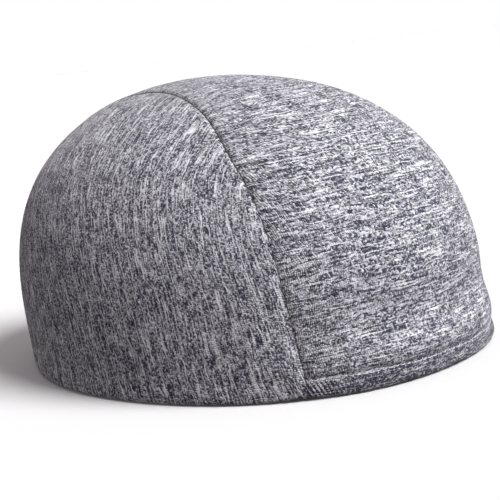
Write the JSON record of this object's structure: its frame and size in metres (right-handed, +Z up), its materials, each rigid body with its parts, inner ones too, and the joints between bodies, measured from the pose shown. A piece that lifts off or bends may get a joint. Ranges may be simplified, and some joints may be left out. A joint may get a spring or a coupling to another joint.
{
  "type": "helmet liner cap",
  "caption": "Close-fitting three-panel skull cap of heathered jersey, with two curved seams over the crown and a turned-up hem, worn under a helmet",
  "frame": {"origin": "middle of the cap's outline, on the plane of the hem", "axes": "Z up through the crown, -Y to the forehead, -X to the wearer's right"},
  "size_m": [0.1602, 0.2048, 0.1117],
  "materials": {
    "jersey": "heathered light and dark grey jersey, matt",
    "jersey_inside": "inner face of the same jersey, matt",
    "overlock": "overlocked edge with dark thread, matt"
  },
  "bodies": {
    "root": {"centre_panel": "jersey", "side_panel_right": "jersey", "side_panel_left": "jersey", "hem_turn_up": "jersey_inside", "seam_right": "overlock", "seam_left": "overlock"}
  },
  "joints": []
}
